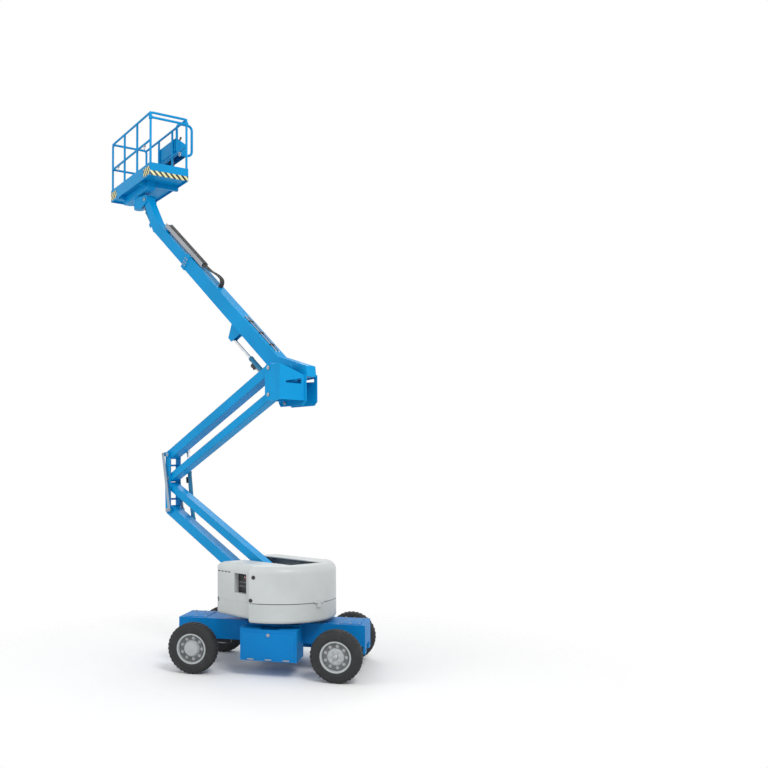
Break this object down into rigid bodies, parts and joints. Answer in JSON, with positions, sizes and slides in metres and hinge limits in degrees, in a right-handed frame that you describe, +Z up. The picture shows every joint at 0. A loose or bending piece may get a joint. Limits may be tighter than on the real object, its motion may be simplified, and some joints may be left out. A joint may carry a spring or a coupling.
{
  "type": "articulating boom lift",
  "caption": "Self-propelled articulating boom lift with a slewing turntable, a folding riser, a telescopic boom with a gooseneck and a railed work platform.",
  "frame": {"origin": "on the ground under the slew axis, midway between the axles", "axes": "+X towards the steered end, +Y to the machine's left, +Z up"},
  "size_m": [5.2682, 4.323, 9.3233],
  "materials": {
    "blue": "gloss",
    "blue_dark": "gloss",
    "axle_grey": "satin",
    "steel": "satin",
    "weight_grey": "satin paint",
    "cover_grey": "satin",
    "black_plastic": "matte",
    "link_grey": "satin",
    "cylinder_paint": "satin",
    "rod_chrome": "polished",
    "tray_grey": "satin",
    "floor_grey": "satin",
    "tyre": "matte",
    "rim": "satin"
  },
  "bodies": {
    "chassis": {"frame": "blue_dark", "battery_boxes": "blue_dark", "drive_axle": "axle_grey", "steer_axle": "axle_grey", "slew_ring": "steel"},
    "steer_left": {"knuckle_left": "axle_grey"},
    "steer_right": {"knuckle_right": "axle_grey"},
    "wheel_drive_left": {"tyre_drive_left": "tyre", "rim_drive_left": "rim"},
    "wheel_drive_right": {"tyre_drive_right": "tyre", "rim_drive_right": "rim"},
    "wheel_steer_left": {"tyre_steer_left": "tyre", "rim_steer_left": "rim"},
    "wheel_steer_right": {"tyre_steer_right": "tyre", "rim_steer_right": "rim"},
    "turntable": {"turntable": "blue", "counterweight": "weight_grey", "cover_left": "cover_grey", "cover_right": "cover_grey", "ground_controls": "black_plastic"},
    "hood": {"hood": "cover_grey"},
    "lower_arm": {"lower_arm": "blue"},
    "lower_link": {"lower_link": "blue"},
    "middle_pivot": {"middle_pivot": "blue"},
    "timing_link": {"timing_link": "link_grey"},
    "riser_barrel": {"riser_barrel": "cylinder_paint"},
    "riser_rod": {"riser_rod": "rod_chrome"},
    "upper_arm": {"upper_arm": "blue"},
    "upper_link": {"upper_link": "blue"},
    "upper_pivot": {"upper_pivot": "blue"},
    "boom_outer": {"boom_outer": "blue"},
    "lift_barrel": {"lift_barrel": "cylinder_paint"},
    "lift_rod": {"lift_rod": "rod_chrome"},
    "boom_inner": {"boom_inner": "blue", "gooseneck": "blue", "cable_tray": "tray_grey"},
    "level_barrel": {"level_barrel": "cylinder_paint"},
    "level_rod": {"level_rod": "rod_chrome"},
    "rotator_bracket": {"rotator_bracket": "blue"},
    "platform": {"platform_floor": "blue", "platform_rails": "blue", "control_box": "blue", "control_guard": "blue"},
    "gate": {"platform_gate": "blue"}
  },
  "joints": [
    {"name": "steer_left", "type": "hinge", "parent": "chassis", "child": "steer_left", "pos_m": [1.015, 0.585, 0.355], "axis": [0, 0, 1], "range_deg": [-35, 35]},
    {"name": "steer_right", "type": "hinge", "parent": "chassis", "child": "steer_right", "pos_m": [1.015, -0.585, 0.355], "axis": [0, 0, 1], "range_deg": [-35, 35]},
    {"name": "spin_drive_left", "type": "hinge", "parent": "chassis", "child": "wheel_drive_left", "pos_m": [-1.015, 0.78, 0.355], "axis": [0, 1, 0], "continuous": true},
    {"name": "spin_drive_right", "type": "hinge", "parent": "chassis", "child": "wheel_drive_right", "pos_m": [-1.015, -0.78, 0.355], "axis": [0, 1, 0], "continuous": true},
    {"name": "spin_steer_left", "type": "hinge", "parent": "steer_left", "child": "wheel_steer_left", "pos_m": [1.015, 0.78, 0.355], "axis": [0, 1, 0], "continuous": true},
    {"name": "spin_steer_right", "type": "hinge", "parent": "steer_right", "child": "wheel_steer_right", "pos_m": [1.015, -0.78, 0.355], "axis": [0, 1, 0], "continuous": true},
    {"name": "slew", "type": "hinge", "parent": "chassis", "child": "turntable", "pos_m": [0, 0, 0.74], "axis": [0, 0, 1], "range_deg": [-142.5, 212.5]},
    {"name": "hood_tilt", "type": "hinge", "parent": "turntable", "child": "hood", "pos_m": [0.7356, -0.51507, 1.03], "axis": [0.5736, 0.8192, 0], "range_deg": [0, 50]},
    {"name": "riser_lift", "type": "hinge", "parent": "turntable", "child": "lower_arm", "pos_m": [0.04175, -0.23676, 0.98], "axis": [0.5736, 0.8192, 0], "range_deg": [-26, 36]},
    {"name": "riser_low_link", "type": "hinge", "parent": "turntable", "child": "lower_link", "pos_m": [0.04175, -0.23676, 1.38], "axis": [0.5736, 0.8192, 0], "range_deg": [-26, 36]},
    {"name": "riser_middle", "type": "hinge", "parent": "lower_arm", "child": "middle_pivot", "pos_m": [-2.01239, 1.20156, 2.20305], "axis": [-0.5736, -0.8192, 0], "range_deg": [-26, 36]},
    {"name": "riser_upper", "type": "hinge", "parent": "middle_pivot", "child": "upper_arm", "pos_m": [-2.01239, 1.20156, 3.12305], "axis": [-0.5736, -0.8192, 0], "range_deg": [-26, 36]},
    {"name": "riser_up_link", "type": "hinge", "parent": "middle_pivot", "child": "upper_link", "pos_m": [-2.01239, 1.20156, 2.73305], "axis": [-0.5736, -0.8192, 0], "range_deg": [-26, 36]},
    {"name": "riser_top", "type": "hinge", "parent": "upper_arm", "child": "upper_pivot", "pos_m": [0.04175, -0.23676, 4.34611], "axis": [0.5736, 0.8192, 0], "range_deg": [-26, 36]},
    {"name": "riser_timing", "type": "hinge", "parent": "upper_arm", "child": "timing_link", "pos_m": [-2.08583, 1.25298, 3.1309], "axis": [0.5736, 0.8192, 0], "range_deg": [-26, 36]},
    {"name": "riser_swing", "type": "hinge", "parent": "lower_arm", "child": "riser_barrel", "pos_m": [-1.6593, 1.18871, 2.05839], "axis": [-0.5736, -0.8192, 0], "range_deg": [-22.99, 31.83]},
    {"name": "riser_stroke", "type": "slide", "parent": "riser_barrel", "child": "riser_rod", "axis": [-0.1093, 0.0765, 0.9911], "range_m": [-0.1761, 0.2438]},
    {"name": "boom_lift", "type": "hinge", "parent": "upper_pivot", "child": "boom_outer", "pos_m": [0.3924, -0.06723, 4.24611], "axis": [0.5736, 0.8192, 0], "range_deg": [-59, 34.5]},
    {"name": "lift_swing", "type": "hinge", "parent": "upper_pivot", "child": "lift_barrel", "pos_m": [0.22448, 0.05035, 3.84611], "axis": [0.5736, 0.8192, 0], "range_deg": [-58.74, 34.35]},
    {"name": "lift_stroke", "type": "slide", "parent": "lift_barrel", "child": "lift_rod", "axis": [-0.6239, 0.4368, 0.648], "range_m": [-0.4167, 0.2438]},
    {"name": "boom_extend", "type": "slide", "parent": "boom_outer", "child": "boom_inner", "axis": [-0.6182, 0.4329, 0.6561], "range_m": [-0.7, 1.9]},
    {"name": "level_swing", "type": "hinge", "parent": "boom_inner", "child": "level_barrel", "pos_m": [-2.7543, 2.13611, 7.31849], "axis": [-0.5736, -0.8192, 0], "range_deg": [-3.33, 1.95]},
    {"name": "level_stroke", "type": "slide", "parent": "level_barrel", "child": "level_rod", "axis": [0.4553, -0.3188, -0.8313], "range_m": [-0.158, 0.0924]},
    {"name": "platform_level", "type": "hinge", "parent": "boom_inner", "child": "rotator_bracket", "pos_m": [-2.85178, 2.20437, 7.80133], "axis": [-0.5736, -0.8192, 0], "range_deg": [-59, 34.5]},
    {"name": "platform_turn", "type": "hinge", "parent": "rotator_bracket", "child": "platform", "pos_m": [-3.10982, 2.38505, 8.09333], "axis": [0, 0, 1], "range_deg": [-170, 10]},
    {"name": "gate_slide", "type": "slide", "parent": "platform", "child": "gate", "axis": [0, 0, -1], "range_m": [0, 0.33]}
  ],
  "couplings": [
    {"joint": "steer_right", "follows": "steer_left", "ratio": 1},
    {"joint": "riser_low_link", "follows": "riser_lift", "ratio": 1},
    {"joint": "riser_middle", "follows": "riser_lift", "ratio": 1},
    {"joint": "riser_upper", "follows": "riser_lift", "ratio": 1},
    {"joint": "riser_up_link", "follows": "riser_lift", "ratio": 1},
    {"joint": "riser_top", "follows": "riser_lift", "ratio": 1},
    {"joint": "riser_timing", "follows": "riser_lift", "ratio": 1},
    {"joint": "riser_swing", "follows": "riser_lift", "ratio": 0.8838},
    {"joint": "riser_stroke", "follows": "riser_lift", "m_per_rad": 0.3877},
    {"joint": "lift_swing", "follows": "boom_lift", "ratio": 0.9954},
    {"joint": "lift_stroke", "follows": "boom_lift", "m_per_rad": 0.4045},
    {"joint": "level_swing", "follows": "boom_lift", "ratio": 0.0562},
    {"joint": "level_stroke", "follows": "boom_lift", "m_per_rad": 0.1532},
    {"joint": "platform_level", "follows": "boom_lift", "ratio": 1}
  ]
}
